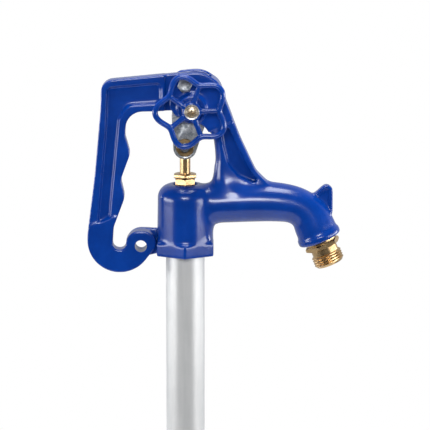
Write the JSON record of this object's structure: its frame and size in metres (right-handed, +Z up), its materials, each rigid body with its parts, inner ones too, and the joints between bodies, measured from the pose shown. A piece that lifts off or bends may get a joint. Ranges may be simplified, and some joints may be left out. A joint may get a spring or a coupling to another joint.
{
  "type": "yard hydrant",
  "caption": "Frost-free yard hydrant with lift lever, lobed clamp wheel, brass hose outlet, steel riser and foot valve.",
  "frame": {"origin": "on the riser's axis, at the inlet end face of the foot valve", "axes": "+Z up along the riser, +X towards the spout, -Y towards the clamp wheel"},
  "size_m": [0.2215, 0.0652, 0.9132],
  "materials": {
    "blue_enamel": "gloss",
    "brass": "machined",
    "zinc_plate": "mottled zinc plate",
    "galvanised_steel": "satin",
    "black_rubber": "matte",
    "graphite_packing": "matte"
  },
  "bodies": {
    "head": {"head_casting": "blue_enamel", "riser_pipe": "galvanised_steel", "hose_nozzle": "brass", "gland_bushing": "brass", "packing_nut": "brass", "packing_washer": "brass", "stem_packing": "graphite_packing", "fulcrum_bolt": "zinc_plate", "fulcrum_washer": "zinc_plate", "fulcrum_lock_washer": "zinc_plate", "fulcrum_nut": "zinc_plate", "valve_body": "brass", "valve_seat": "brass", "drain_fitting": "brass"},
    "lever_arm": {"lever": "blue_enamel", "lever_bushing": "brass", "crank_pin": "zinc_plate"},
    "link_pair": {"link_front": "zinc_plate", "link_rear": "zinc_plate"},
    "lift_rod": {"rod_eye": "brass", "eye_pin": "zinc_plate", "rod_coupling": "zinc_plate", "rod_jam_nut": "zinc_plate", "operating_rod": "galvanised_steel", "plunger_body": "brass", "plunger_seal": "black_rubber", "plunger_screw": "brass", "plunger_o_ring_lower": "black_rubber", "plunger_o_ring_upper": "black_rubber"},
    "pad": {"clamp_pad": "black_rubber"},
    "clamp": {"handwheel": "blue_enamel", "wheel_washer": "zinc_plate", "wheel_screw": "zinc_plate", "clamp_stud": "zinc_plate"}
  },
  "joints": [
    {"name": "lever_lift", "type": "hinge", "parent": "head", "child": "lever_arm", "pos_m": [0, 0, 0.9012], "axis": [0, 1, 0], "range_deg": [0, 65]},
    {"name": "link_swing", "type": "hinge", "parent": "lever_arm", "child": "link_pair", "pos_m": [0.0039, 0, 0.8736], "axis": [0, 1, 0], "range_deg": [-130, 0]},
    {"name": "rod_pivot", "type": "hinge", "parent": "link_pair", "child": "lift_rod", "pos_m": [0, 0, 0.846], "axis": [0, 1, 0], "range_deg": [0, 65]},
    {"name": "pad_travel", "type": "slide", "parent": "head", "child": "pad", "axis": [0, -1, 0], "range_m": [0, 0.00125]},
    {"name": "wheel_turn", "type": "hinge", "parent": "pad", "child": "clamp", "pos_m": [0.006, 0, 0.881], "axis": [0, -1, 0], "range_deg": [0, 360]}
  ],
  "couplings": [
    {"joint": "link_swing", "follows": "lever_lift", "ratio": -2},
    {"joint": "rod_pivot", "follows": "lever_lift", "ratio": 1},
    {"joint": "pad_travel", "follows": "wheel_turn", "m_per_rad": 0.00019894}
  ]
}
